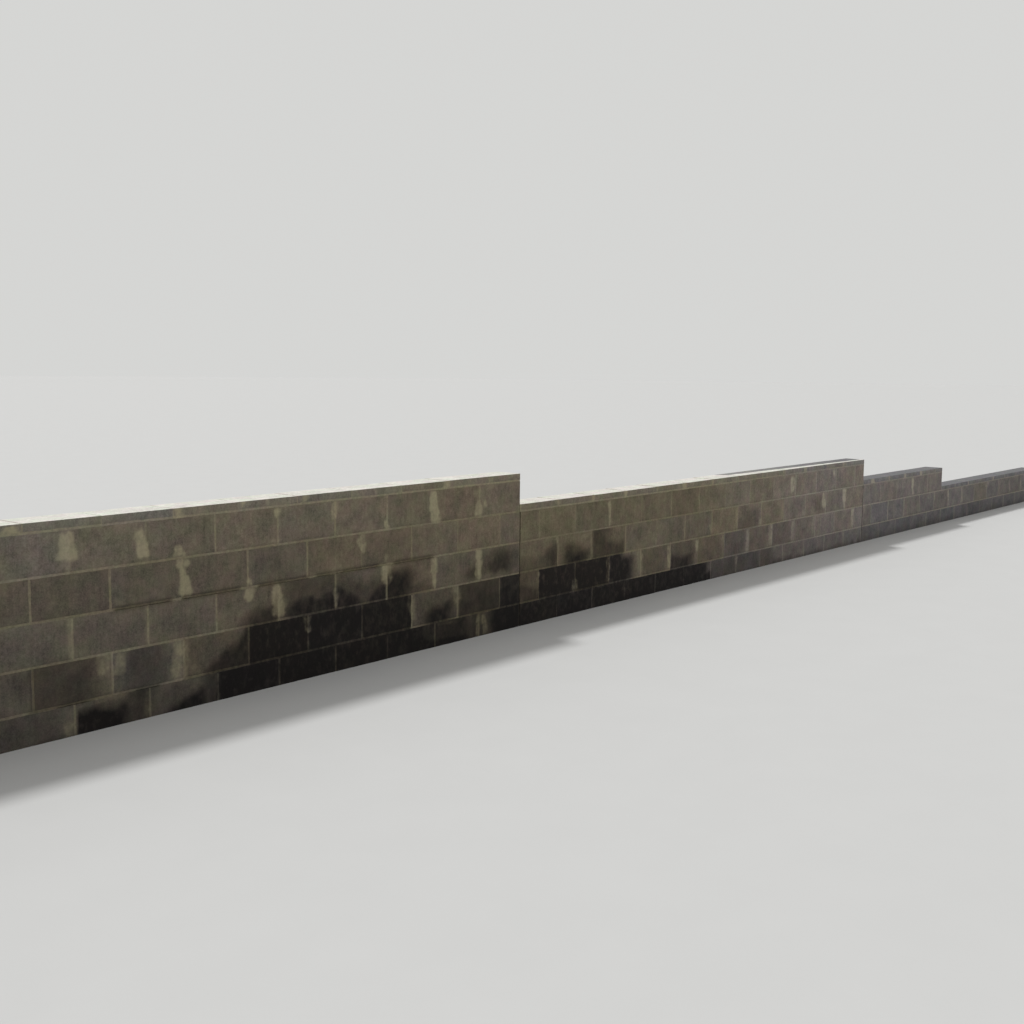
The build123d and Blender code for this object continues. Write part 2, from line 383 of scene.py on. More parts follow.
# Damp on the front, in the same units. Each patch runs from one place along the wall to another,
# and from one height up to a height at its left end and one at its right end, with a strength. A
# patch that gives only its two places and a strength covers the whole height.
DAMP = {
    "bay_1_course_3": [
        (-2230, -2020, 0, 24, 58, 80), (-1970, -1610, 0, 50, 55, 93), (-1970, -1610, 50),
        (-1590, -1360, 0, 66, 24, 93), (-1400, -1220, 0, 24, 56, 93), (-1590, -1480, 30),
        (-1590, -1220, 0, 86, 66, 52), (-1190, -990, 0, 90, 72, 90), (-1040, -860, 0, 50, 24, 40),
        (-540, -430, 5, 50, 60, 60), (-340, -70, 14, 64, 86, 74), (-380, -30, 6, 90, 94, 34),
        (-3360, -3200, 0, 10, 6, 30),
    ],
    "bay_1_course_2": [
        (-3620, -3420, 18), (-3410, -3090, 46), (-3300, -3090, 0, 80, 100, 56), (-2940, -2710, 46),
        (-2530, -2200, 0, -16, 105, 82), (-2600, -2200, 20), (-2190, -1800, 100), (-1790, -1400, 100),
        (-1390, -1015, 97), (-970, -650, 22), (-900, -640, 0, 40, 74, 90), (-580, -200, 0, 70, 70, 68),
        (-580, -200, 56), (-190, 0, 0, 80, 80, 93), (-190, 0, 84), (-5200, -4820, 0, 100, 80, 55),
        (-4600, -4210, 0, 20, 80, 80), (-4190, -3840, 40),
    ],
    "bay_1_course_1": [
        (-3600, -3270, 32), (-3270, -3175, 30, 100, 100, 17), (-3600, -3200, 0, 30, 40, 60),
        (-3175, -2900, 0, 84, 88, 100), (-2940, -2760, 60), (-2780, -2440, 0, 10, 90, 96),
        (-2760, -2500, 22), (-2500, -2400, 70), (-2400, -860, 100), (-980, -460, 0, 60, 60, 100),
        (-980, -460, 78), (-480, -430, 80), (-450, -300, 55), (-310, 0, 100), (-5200, -3610, 30),
        (-4800, -4420, 0, 90, 80, 90), (-4120, -3750, 0, 45, 75, 85),
    ],
    "bay_2_course_3": [
        (240, 390, 0, 62, 76, 58), (10, 390, 0, 44, 50, 42), (280, 390, 0, 60, 70, 70),
        (460, 755, 0, 40, 44, 94), (480, 700, 0, 72, 55, 62), (800, 1000, 62), (820, 1170, 0, 78, 44, 66),
        (2860, 3140, 0, 100, 80, 30), (2840, 3000, 0, 50, 40, 36), (4200, 4340, 10, 90, 90, 30),
        (1800, 1970, 0, 90, 70, 12), (3600, 3950, 10, 80, 80, 10),
    ],
    "bay_2_course_2": [
        (0, 190, 0, 66, 50, 72), (0, 190, 42), (210, 590, 100), (600, 990, 100),
        (1000, 1300, 0, 115, 80, 97), (1450, 1760, 30), (1810, 2140, 0, 62, 52, 86), (1810, 2160, 40),
        (2200, 2560, 25), (2600, 2950, 40), (3000, 3340, 26), (3410, 3750, 28), (3800, 4150, 18),
    ],
    "bay_2_course_1": [
        (0, 2430, 0, 66, 66, 100), (0, 2360, 95), (2360, 3420, 45), (3400, 5200, 10),
        (2360, 5200, 0, 40, 40, 62),
    ],
    # Bays 3 and 4: the bottom course a little darker all over, more over its lower half, and most in one
    # stretch
    "bays_3_4_course_1": [
        (5200, 10400, 3), (5200, 10400, 0, 50, 50, 30), (7800, 8550, 20),
    ],
}


def noise(x, y, z, spacing, seed):
    """Random numbers from -1 to 1 at the corners of a lattice, blended smoothly between them."""
    x, y, z = np.broadcast_arrays(x, y, z)
    steps = [axis / spacing + LATTICE_SHIFT for axis in (x, y, z)]
    cells = [np.floor(axis) for axis in steps]
    blends = [axis - cell for axis, cell in zip(steps, cells)]
    blends = [part * part * (3 - 2 * part) for part in blends]
    total = np.zeros(x.shape)
    for corner in range(8):
        picks = [(corner >> axis) & 1 for axis in range(3)]
        weight = 1.0
        for pick, part in zip(picks, blends):
            weight = weight * (part if pick else 1 - part)
        terms = [(cell + pick) * factor for cell, pick, factor in zip(cells, picks, HASH_FACTORS)]
        hashed = np.sin(terms[0] + terms[1] + terms[2] + seed * HASH_SEED_FACTOR) * HASH_SIZE
        total += weight * (2 * (hashed - np.floor(hashed)) - 1)
    return total


def wave(kind, x, y, z, seed):
    """Unevenness of a surface: its height times noise at its spacing."""
    height, spacing = kind
    return height * noise(x, y, z, spacing, seed)


def soft_step(value, low, high):
    """0 below low, 1 above high, and a smooth cubic between."""
    share = np.clip((value - low) / (high - low), 0, 1)
    return share * share * (3 - 2 * share)


def rounded(inside, radius):
    """How far a face turns in beside an edge: a quarter circle, from the radius at the edge to 0."""
    bite = np.clip(radius - inside, 0, radius)
    return radius - np.sqrt(np.maximum(radius ** 2 - bite ** 2, 0))


def shared_corner(distance):
    """How far each of two faces turns in beside the corner that they share."""
    return 0.29 * OUTER_RADIUS * np.clip(1 - distance / OUTER_RADIUS, 0, 1) ** 1.4


def lay_units(start, end, first, whole, joint):
    """Left and right end of each block or tile, laid from a first one at start towards end."""
    towards = 1 if end > start else -1
    reach = abs(end - start)
    spans, laid, length = [], 0.0, first
    while reach - laid > THINNEST_CUT:
        length = min(length, reach - laid)
        spans.append(tuple(sorted((start + towards * laid, start + towards * (laid + length)))))
        laid += length + joint
        length = whole
    return sorted(spans)


def grid_lines(low, high, spans, beside, step):
    """Grid lines along one axis: an even spacing inside each span, more of them beside its ends,
    and two in each gap between spans."""
    lines = [low, high]
    edge = low
    for left, right in spans:
        if left > edge:
            lines += list(np.linspace(edge, left, 4))
        inner_left, inner_right = left + beside[-1], right - beside[-1]
        if inner_right > inner_left:
            count = max(2, round((inner_right - inner_left) / step) + 1)
            lines += list(np.linspace(inner_left, inner_right, count))
        lines += [left, right] + [left + gap for gap in beside] + [right - gap for gap in beside]
        edge = right
    if high > edge:
        lines += list(np.linspace(edge, high, 4))
    lines = np.unique(np.round(lines, 6))
    return lines[(lines >= low - 1e-6) & (lines <= high + 1e-6)]


class Skin:
    """A closed box of grid lines: one vertex for each pair of lines on each of its six sides."""

    def __init__(self, xs, ys, zs):
        self.lines = (xs, ys, zs)
        self.counts = [len(axis) for axis in self.lines]
        steps = np.meshgrid(*[np.arange(count) for count in self.counts], indexing="ij")
        outer = np.zeros(self.counts, bool)
        for step, count in zip(steps, self.counts):
            outer |= (step == 0) | (step == count - 1)
        self.number = np.full(self.counts, -1)
        self.number[outer] = np.arange(outer.sum())
        self.steps = [step[outer] for step in steps]
        self.points = np.stack([axis[step] for axis, step in zip(self.lines, self.steps)], 1)

    def side(self, axis, end):
        """Which vertices lie on one side, and their places along the side's own two axes."""
        here = self.steps[axis] == (0 if end == 0 else self.counts[axis] - 1)
        others = [self.steps[other][here] for other in range(3) if other != axis]
        return here, tuple(others)

    def squares(self):
        """Squares of all six sides, their corners in such order that each faces outwards."""
        found = []
        for axis in range(3):
            for end in (0, 1):
                sheet = np.take(self.number, 0 if end == 0 else self.counts[axis] - 1, axis=axis)
                corners = [sheet[:-1, :-1], sheet[1:, :-1], sheet[1:, 1:], sheet[:-1, 1:]]
                square = np.stack(corners, -1).reshape(-1, 4)
                found.append(square if (end == 1) != (axis == 1) else square[:, ::-1])
        return np.concatenate(found)


def put_piece(name, skin, fields, finish, node):
    """Makes a skin into a mesh with its fields as attributes, and lets it stand for a CAD node."""
    squares = skin.squares()
    mesh = bpy.data.meshes.new(name)
    mesh.vertices.add(len(skin.points))
    mesh.vertices.foreach_set("co", skin.points.astype(np.float32).ravel())
    mesh.loops.add(squares.size)
    mesh.loops.foreach_set("vertex_index", squares.astype(np.int32).ravel())
    mesh.polygons.add(len(squares))
    mesh.polygons.foreach_set("loop_start", np.arange(0, squares.size, 4, dtype=np.int32))
    mesh.update(calc_edges=True)
    mesh.polygons.foreach_set("use_smooth", np.ones(len(squares), bool))
    mesh.set_sharp_from_angle(angle=SHARP_ANGLE)
    for key, values in fields.items():
        mesh.attributes.new(key, "FLOAT", "POINT").data.foreach_set("value", values.astype(np.float32))
    mesh.materials.append(finish)
    piece = bpy.data.objects.new(name, mesh)
    bpy.context.scene.collection.objects.link(piece)
    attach(piece, "root")
    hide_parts(node)


def smear_edge(x, row, z, wide_seed, fine_seed):
    """Factor on the half width of a stroke: 1.05 plus a long and a short wander of its edge."""
    wide, fine = SMEAR_SPACINGS
    edge = 1.05 + SMEAR_WANDER * noise(x * 0.3, row, z, wide, wide_seed)
    return edge + SMEAR_WANDER * noise(x, row, z, fine, fine_seed)


def smear_field(x, z, share, strokes):
    """How thick the smeared mortar lies. Each edge of a stroke wanders by noise of its own, in
    proportion to the width, and fades over a centimetre or two. Its middle is thinner in places."""
    along = x - JOINT_1_X
    left = smear_edge(x, 3.0, z, 811, 802)
    right = smear_edge(x, 5.0, z, 816, 807)
    height = share + wave(SMEAR_END_WAVE, x, 7.0, z, 803)
    outer, inner = SMEAR_END_FADE
    field = np.zeros(height.shape)
    for foot_x, foot, foot_width, top_x, top, top_width, strength in strokes:
        climb = np.clip((height - foot) / (top - foot), 0, 1)
        middle = foot_x + (top_x - foot_x) * climb
        width = foot_width + (top_width - foot_width) * climb
        ends = soft_step(height, foot - outer, foot + inner)
        ends = ends * (1 - soft_step(height, top - inner, top + outer))
        width = width * (0.50 + 0.50 * ends)
        fade = 0.006 + 0.32 * width
        across = soft_step(along - middle + width * left, -fade, fade)
        across = across * (1 - soft_step(along - middle - width * right, -fade, fade))
        field = np.maximum(field, strength * across * ends)
    patchy = noise(x, 11.0, z, 0.028, 804) + 0.6 * noise(x * 3, 11.0, z, 0.060, 805)
    return np.clip(field * (0.84 + 0.22 * patchy), 0, 1)


def damp_field(x, z, share, patches, units, seed):
    """How wet the face is. A patch stops sharply where it meets a joint, fades over a few
    centimetres elsewhere, and has an uneven upper edge; where patches overlap, the wetter counts."""
    edges = np.array(units).ravel() - JOINT_1_X
    along = x - JOINT_1_X + wave(DAMP_WANDER, x, 2.0, z, seed)
    height = share + wave(DAMP_TOP_WAVE, x, 5.0, z, seed) + wave(DAMP_TOP_RIPPLE, x, 5.0, 9.0, seed)
    (top_below, top_above), (foot_below, foot_above) = DAMP_TOP_FADE, DAMP_FOOT_FADE
    field = np.zeros(height.shape)
    for left, right, *heights, strength in patches:
        left, right, strength = left / 1000, right / 1000, strength / 100
        low, high_left, high_right = [level / 100 for level in heights or (0, 100, 100)]
        at_joint = [np.abs(edges - end).min() < DAMP_JOINT_REACH for end in (left, right)]
        fade_left, fade_right = [DAMP_FADE_AT_JOINT if met else DAMP_FADE for met in at_joint]
        spread_left, spread_right = [DAMP_SPREAD if met else 0.0 for met in at_joint]
        across = soft_step(along + spread_left, left - fade_left, left + fade_left)
        across = across * (1 - soft_step(along - spread_right, right - fade_right, right + fade_right))
        high = high_left + (high_right - high_left) * np.clip((along - left) / (right - left), 0, 1)
        above = soft_step(height, high - top_below, high + top_above)
        above = 1 - above * np.clip((1 - high) / 0.06, 0, 1)
        below = soft_step(height, low - foot_below, low + foot_above) if low > 0 else 1.0
        field = np.maximum(field, strength * across * above * below)
    return field


class Course:
    """One course of blocks or one row of capping tiles: its units, its grid lines and its skin."""

    def __init__(self, name, units, foot, top, free_ends, seed, capping=False):
        self.name, self.units, self.foot, self.top = name, units, foot, top
        self.free_ends, self.seed, self.capping = free_ends, seed, capping
        self.low, self.high = low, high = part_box(name)
        self.rng = np.random.default_rng(seed)
        step = TILE_STEP if capping else FACE_STEP
        beside = LINES_BESIDE_TILE if capping else LINES_BESIDE_JOINT
        self.xs = grid_lines(low.x, high.x, units, beside, step)
        above = LINES_BESIDE_CORNER if capping else LINES_BESIDE_JOINT
        self.zs = grid_lines(low.z, high.z, [(max(foot, low.z), top)], above, step)
        self.ys = np.array([low.y, high.y])
        if capping or any(free_ends):
            self.ys = grid_lines(low.y, high.y, [(low.y, high.y)], LINES_BESIDE_CORNER, DEPTH_STEP)
        self.find_units()
        self.skin = Skin(self.xs, self.ys, self.zs)
        names = ("unit", "mortar", "smear", "damp", "rim", "top", "painted_sun", "light", "warm", "olive")
        self.fields = {key: np.zeros(len(self.skin.points)) for key in names}
        self.fields["inside"] = np.ones(len(self.skin.points))
        self.fields["painted_sun_strip"] = -np.ones(len(self.skin.points))

    def find_units(self):
        """For each grid line along the wall: the nearest unit, and how far inside it the line is.
        A free end isn't a joint, so nothing turns in there as beside a joint."""
        units = np.array(self.units)
        if self.free_ends[0]:
            units[0, 0] -= 1
        if self.free_ends[1]:
            units[-1, 1] += 1
        places = self.xs[:, None]
        inside = np.minimum(places - units[None, :, 0], units[None, :, 1] - places)
        self.unit = inside.argmax(1)
        self.inside = inside.max(1)

    def lay(self, axis, end, depth, **fields):
        """Sinks one side of the skin by a depth, and gives its vertices their fields."""
        here, pick = self.skin.side(axis, end)
        self.skin.points[here, axis] += (-depth if end else depth)[pick]
        for key, values in fields.items():
            self.fields[key][here] = np.broadcast_to(values, depth.shape)[pick]

    def face(self, side):
        """The long face on one side, as its depth behind the CAD face at each pair of lines.

        The depth is the least of three: the units, set back and leaning a little, rough, rounded
        and chipped beside their joints; the mortar, struck back with a hollow; and the smears,
        which stand up to a millimetre proud of the units."""
        front = side == 0
        seed = self.seed * 2 + side
        x, z = np.meshgrid(self.xs, self.zs, indexing="ij")
        share = (z - self.foot) / (self.top - self.foot)
        count = len(self.units)
        random = self.rng.uniform(-1, 1, (3, count))
        own_x = x + self.rng.uniform(0, 50, count)[self.unit][:, None]
        rise = z - self.foot if self.capping else np.minimum(z - self.foot, self.top - z)
        inside = np.minimum(self.inside[:, None], rise)
        ragged = inside + wave(ARRIS_WAVE, x, side, z, seed) * (inside > 0)
        radius = ARRIS_RADIUS * (1 + 0.5 * noise(x, side, z, 0.05, seed + 100))

        middle = np.array(self.units).mean(1)[self.unit][:, None]
        units = FACE_SETBACK + FACE_SETBACK_RANGE * random[0][self.unit][:, None]
        units = units + FACE_LEAN * random[1][self.unit][:, None] * (x - middle) / BLOCK_LENGTH * 2
        units = units + FACE_LEAN * random[2][self.unit][:, None] * (share * 2 - 1)
        units = units + wave(FACE_WAVE, own_x, side, z, seed + 200)
        units = units + wave(FACE_RIPPLE, own_x, side, z, seed + 300)
        corner = shared_corner(self.xs - self.low.x if self.free_ends[0] else np.inf)
        corner = corner + shared_corner(self.high.x - self.xs if self.free_ends[1] else np.inf)
        units = units + np.broadcast_to(corner, self.xs.shape)[:, None]
        if self.capping:
            units = units + shared_corner(self.high.z - z)
        chips = soft_step(noise(own_x, side, z, CHIP_SPACING, seed + 400), *CHIP_RANGE)
        bare = units + CHIP_DEPTH * chips * np.exp(-np.maximum(inside, 0) / CHIP_REACH)
        bare = np.where(inside >= 0, bare + rounded(ragged, radius), 1.0)

        struck = MORTAR_DEPTH - MORTAR_HOLLOW * np.clip(1 + inside / (JOINT / 2), 0, 1)
        struck = struck + wave(MORTAR_WAVE, x, side, z, seed + 500)
        struck = struck + wave(MORTAR_RIPPLE, x, side, z, seed + 600)
        # Raked beds: struck deeper, with a broad stain in the mortar and a narrow painted shadow under the
        # arris above
        stain_and_shadow = np.zeros(x.shape)
        for level, left, right in RAKED_BEDS if front else ():
            along = x - JOINT_1_X
            stretch = soft_step(along, left, left + RAKED_FADE)
            stretch = stretch * (1 - soft_step(along, right - RAKED_FADE, right))
            in_bed = np.abs(z - level) < JOINT / 2 + 1e-5
            struck = struck + (RAKED_DEPTH - MORTAR_DEPTH) * stretch * in_bed
            for strength, lift, spread in RAKED_STAINS_AND_SHADOWS:
                dark = strength * stretch * np.exp(-((z - level - lift) / spread) ** 2)
                stain_and_shadow = np.maximum(stain_and_shadow, dark)
        struck = np.where(inside < MORTAR_LAP, struck, 1.0)

        strokes = self.front_strokes() if front else self.rear_strokes()
        smear = smear_field(x, z, share, strokes)
        lump = units + SMEAR_BASE - (SMEAR_BASE + SMEAR_THICKNESS) * smear
        lump = np.where(smear > THINNEST_SMEAR, lump, 1.0)
        depth = np.maximum(np.minimum(np.minimum(bare, struck), lump), 0)

        damp = 0.0
        if front:
            damp = damp_field(x, z, share, DAMP.get(self.name, []), self.units, seed + 900)
            # The raked beds' stain and painted shadow darken the face along with the damp
            damp = np.maximum(damp, stain_and_shadow)
        mortar = self.joint_strength(rise, front)
        rim = np.exp(-np.maximum(inside, 0) / RIM_REACH)
        self.lay(1, side, depth, inside=inside, mortar=mortar, smear=smear, rim=rim, damp=damp)

    def joint_strength(self, rise, front):
        """How plainly the mortar shows: 1 in a bed joint, and less, by joint, in an upright one."""
        middles = np.array(self.units)[:-1, 1] + JOINT / 2 - JOINT_1_X
        strength = np.random.default_rng(self.seed + 500).uniform(*JOINT_STRENGTHS, len(middles))
        for place in FAINT_JOINTS.get(self.name, ()) if front else ():
            strength[np.abs(middles - place).argmin()] = FAINTEST_JOINT
        nearest = np.abs(self.xs[:, None] - JOINT_1_X - middles).argmin(1)
        return np.where(self.inside[:, None] < rise, strength[nearest][:, None], 1.0)

    def front_strokes(self):
        """The course's smears in metres and shares, with the place of each top along the wall."""
        strokes = np.array(SMEARS[self.name])
        strokes[:, 3] += strokes[:, 0]
        return strokes / STROKE_UNITS

    def rear_strokes(self):
        """A few faint smears beside the joints of the hidden face."""
        ends = np.array(self.units)[:-1, 1] + JOINT / 2 - JOINT_1_X
        chosen = ends[self.rng.uniform(0, 1, len(ends)) < 0.35]
        return [(end, 0.1, 0.02, end, self.rng.uniform(0.4, 1.0), 0.02, 0.5) for end in chosen]

    def end_face(self, end):
        """A free end: a shallow roughness, its corners turned in and its bed struck back."""
        if not self.free_ends[end]:
            return
        y, z = np.meshgrid(self.ys, self.zs, indexing="ij")
        depth = END_SETBACK + wave(END_WAVE, end, y, z, self.seed + 21)
        depth = depth + shared_corner(np.minimum(y - self.low.y, self.high.y - y))
        if self.capping:
            depth = depth + shared_corner(self.high.z - z)
        in_bed = z < self.foot - 1e-6
        depth = np.where(in_bed, MORTAR_DEPTH, depth)
        self.lay(0, end, depth, inside=z - self.foot, mortar=1.0)

    def top_face(self):
        """The top of the capping: tiles a shade apart in height, rounded beside their joints and
        at their outer corners, and mortar a little below them."""
        x, y = np.meshgrid(self.xs, self.ys, indexing="ij")
        random = self.rng.uniform(0, 1, len(self.units))[self.unit][:, None]
        inside = self.inside[:, None] + 0 * y
        tiles = TILE_SETBACK + TILE_SETBACK_RANGE * random + wave(TILE_WAVE, x, y, 5.0, self.seed + 31)
        tiles = tiles + rounded(inside, TOP_ARRIS_RADIUS)
        rim = np.minimum(y - self.low.y, self.high.y - y)
        if self.free_ends[0]:
            rim = np.minimum(rim, x - self.low.x)
        if self.free_ends[1]:
            rim = np.minimum(rim, self.high.x - x)
        tiles = np.where(inside >= 0, tiles + shared_corner(rim), 1.0)
        struck = TILE_MORTAR_DEPTH + wave(TILE_MORTAR_WAVE, x, y, 6.0, self.seed + 33)
        struck = np.where(inside < TILE_MORTAR_LAP, struck, 1.0)
        self.lay(2, 1, np.maximum(np.minimum(tiles, struck), 0), inside=inside, mortar=1.0, top=1.0)

    def put(self, finish):
        """Shapes all faces, fills in the fields that vary by unit, and puts the skin in place.

        Light, warmth and patina go from their left value to their right one in a smooth step, and
        each unit swings a little from that. The foot of each unit is darker, by a bell curve."""
        self.face(0)
        self.face(1)
        self.end_face(0)
        self.end_face(1)
        if self.capping:
            self.top_face()
        start = max(self.low.x, JOINT_1_X - SHOWN_LENGTH)
        along = soft_step(self.xs, start, self.high.x)
        random = self.rng.uniform(-1, 1, (3, len(self.units)))[:, self.unit]
        # Lightness of the units: darker low on the wall, partly grime and partly painted shade
        pairs = np.array(WEATHER_AND_SHADE[self.name]).reshape(3, 2)
        swings = (LIGHT_SWING, WARM_SWING, OLIVE_SWING)
        light, warm, olive = [
            left + (right - left) * along + swing * own
            for (left, right), swing, own in zip(pairs, swings, random)
        ]
        middles = np.array(self.units).mean(1) - JOINT_1_X
        for place, factor in OWN_LIGHT.get(self.name, ()):
            light = np.where(self.unit == np.abs(middles - place).argmin(), light * factor, light)
        column = self.skin.steps[0]
        x, y, z = self.skin.points.T
        rise = np.where(z > self.foot - 1e-6, z - self.foot, np.inf)
        patchy = 0.65 + 0.5 * noise(x, y, z, 0.12, self.seed + 800)
        foot = np.exp(-((rise - FOOT_SHADE_HEIGHT) / FOOT_SHADE_SPREAD) ** 2)
        self.fields["light"] = light[column] * (1 - FOOT_SHADE * patchy * foot)
        self.fields["warm"] = warm[column]
        self.fields["olive"] = olive[column]
        self.fields["unit"] = self.rng.uniform(0, 1, len(self.units))[self.unit][column]
        # Painted sunlight on the capping's top, fading along it, and a strip of it along the front
        if self.name in PAINTED_SUN_ON_TOPS:
            left, right = PAINTED_SUN_ON_TOPS[self.name]
            self.fields["painted_sun"] = self.fields["top"] * (left + (right - left) * along)[column]
        if self.name in PAINTED_SUN_STRIP:
            places, widths = zip(*PAINTED_SUN_STRIP[self.name])
            self.fields["painted_sun_strip"] = np.interp(x - JOINT_1_X, places, widths) - (y - self.low.y)
        put_piece(self.name + "_skin", self.skin, self.fields, finish, self.name)


def put_bead(name, finish):
    """A line of sealant: its outer face is hollow across the joint, with a parabola for its
    section, and waves gently in and out over its height."""
    low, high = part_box(name)
    front = low.y < 0
    xs = np.linspace(low.x, high.x, 9)
    ys = np.linspace(low.y, high.y, 3)
    zs = np.linspace(low.z, high.z, round((high.z - low.z) / BEAD_STEP))
    skin = Skin(xs, ys, zs)
    here, _ = skin.side(1, 0 if front else 1)
    x, y, z = skin.points[here].T
    across = (x - low.x) / (high.x - low.x) * 2 - 1
    depth = BEAD_HOLLOW * (1 - across ** 2)
    for (height, spacing), seed in ((BEAD_WAVE, 71), (BEAD_RIPPLE, 72)):
        depth = depth + height * (1 + noise(x, y, z, spacing, seed))
    skin.points[here, 1] += depth if front else -depth
    put_piece(name + "_bead", skin, {}, finish, name)


class Signal:
    """One output in a material's node tree. Arithmetic on it adds Math nodes."""

    def __init__(self, recipe, socket):
        self.recipe = recipe
        self.socket = socket

    def math(self, operation, first, second):
        """One Math node on two numbers or signals."""
        return self.recipe.node("ShaderNodeMath", {"operation": operation}, {0: first, 1: second})

    def __add__(self, other):
        return self.math("ADD", self, other)

    __radd__ = __add__

    def __mul__(self, other):
        return self.math("MULTIPLY", self, other)

    __rmul__ = __mul__

    def __sub__(self, other):
        return self.math("SUBTRACT", self, other)

    def __rsub__(self, other):
        return self.math("SUBTRACT", other, self)

    def limited(self):
        """The same, kept between 0 and 1."""
        return self.recipe.node("ShaderNodeClamp", {}, {"Value": self})

    def step(self, edge):
        """0 where the edge sets in, 1 where it is whole, and a smooth cubic between."""
        low, high = EDGES[edge]
        settings = {"interpolation_type": "SMOOTHSTEP"}
        return self.recipe.node("ShaderNodeMapRange", settings, {"Value": self, 1: low, 2: high})


class Recipe:
    """The node tree of a material or a world, written by expressions."""

    def __init__(self, owner):
        self.owner = owner
        owner.use_nodes = True
        self.tree = owner.node_tree

    def node(self, kind, settings, inputs, output=0):
        """Adds a node and gives one of its outputs."""
        made = self.tree.nodes.new(kind)
        for key, value in settings.items():
            setattr(made, key, value)
        for key, value in inputs.items():
            self.join(value, made.inputs[key])
        return Signal(self, made.outputs[output])

    def join(self, value, socket):
        """Links a signal to a socket, or sets the socket to a constant."""
        if isinstance(value, Signal):
            self.tree.links.new(value.socket, socket)
        elif isinstance(value, tuple) and socket.type == "RGBA":
            socket.default_value = (*value, 1.0)
        else:
            socket.default_value = value

    def place(self):
        """Place on the piece, in metres."""
        return self.node("ShaderNodeTexCoord", {}, {}, "Object")

    def field(self, name):
        """A value that the mesh carries at each vertex."""
        return self.node("ShaderNodeAttribute", {"attribute_name": name}, {}, "Fac")

    def moved(self, place, x, y, z):
        """A place with x, y and z added."""
        shift = self.node("ShaderNodeCombineXYZ", {}, {"X": x, "Y": y, "Z": z})
        return self.node("ShaderNodeVectorMath", {"operation": "ADD"}, {0: place, 1: shift})

    def stretched(self, place, factor):
        """A place with its height multiplied by a factor."""
        inputs = {0: place, 1: (1.0, 1.0, factor)}
        return self.node("ShaderNodeVectorMath", {"operation": "MULTIPLY"}, inputs)

    def noise(self, kind, place):
        """Soft noise around 0.5."""
        scale, detail, roughness = NOISES[kind]
        inputs = {"Vector": place, "Scale": scale, "Detail": detail, "Roughness": roughness}
        return self.node("ShaderNodeTexNoise", {}, inputs, "Fac")

    def cells(self, place, scale):
        """Distance to the nearest of scattered points, scale of them per metre."""
        return self.node("ShaderNodeTexVoronoi", {}, {"Vector": place, "Scale": scale}, "Distance")

    def mix(self, factor, first, second, blend="MIX"):
        """From the first colour, at factor 0, to the second or its blend with the first, at 1."""
        settings = {"data_type": "RGBA", "blend_type": blend}
        return self.node("ShaderNodeMix", settings, {"Factor": factor, 6: first, 7: second}, 2)

    def cast(self, colour, factors):
        """A colour with each of its shares multiplied by its factor."""
        return self.mix(1.0, colour, factors, "MULTIPLY")

    def scaled(self, colour, factor):
        """A colour times a number."""
        return self.node("ShaderNodeVectorMath", {"operation": "SCALE"}, {0: colour, "Scale": factor})

    def bump(self, kind, height, below=None):
        """A normal tilted by the slope of a height, on top of the one below."""
        distance, strength = BUMPS[kind]
        inputs = {"Height": height, "Distance": distance, "Strength": strength}
        if below is not None:
            inputs["Normal"] = below
        return self.node("ShaderNodeBump", {}, inputs, "Normal")

    def finish(self, **sockets):
        """Feeds the sockets of a material's shader and gives the material."""
        shader = self.tree.nodes["Principled BSDF"]
        for key, value in sockets.items():
            self.join(value, shader.inputs[key.replace("_", " ")])
        return self.owner


def screen(red, green, blue):
    """A colour as read on a screen, 0 to 255, in the shader's linear numbers."""
    shares = [value / 255 for value in (red, green, blue)]
    return tuple(s / 12.92 if s <= 0.04045 else ((s + 0.055) / 1.055) ** 2.4 for s in shares)


def sway(value, *pairs):
    """A value swayed by noises, each by its strength times what the noise is above 0.5."""
    for strength, signal in pairs:
        value = value + strength * (signal - 0.5)
    return value


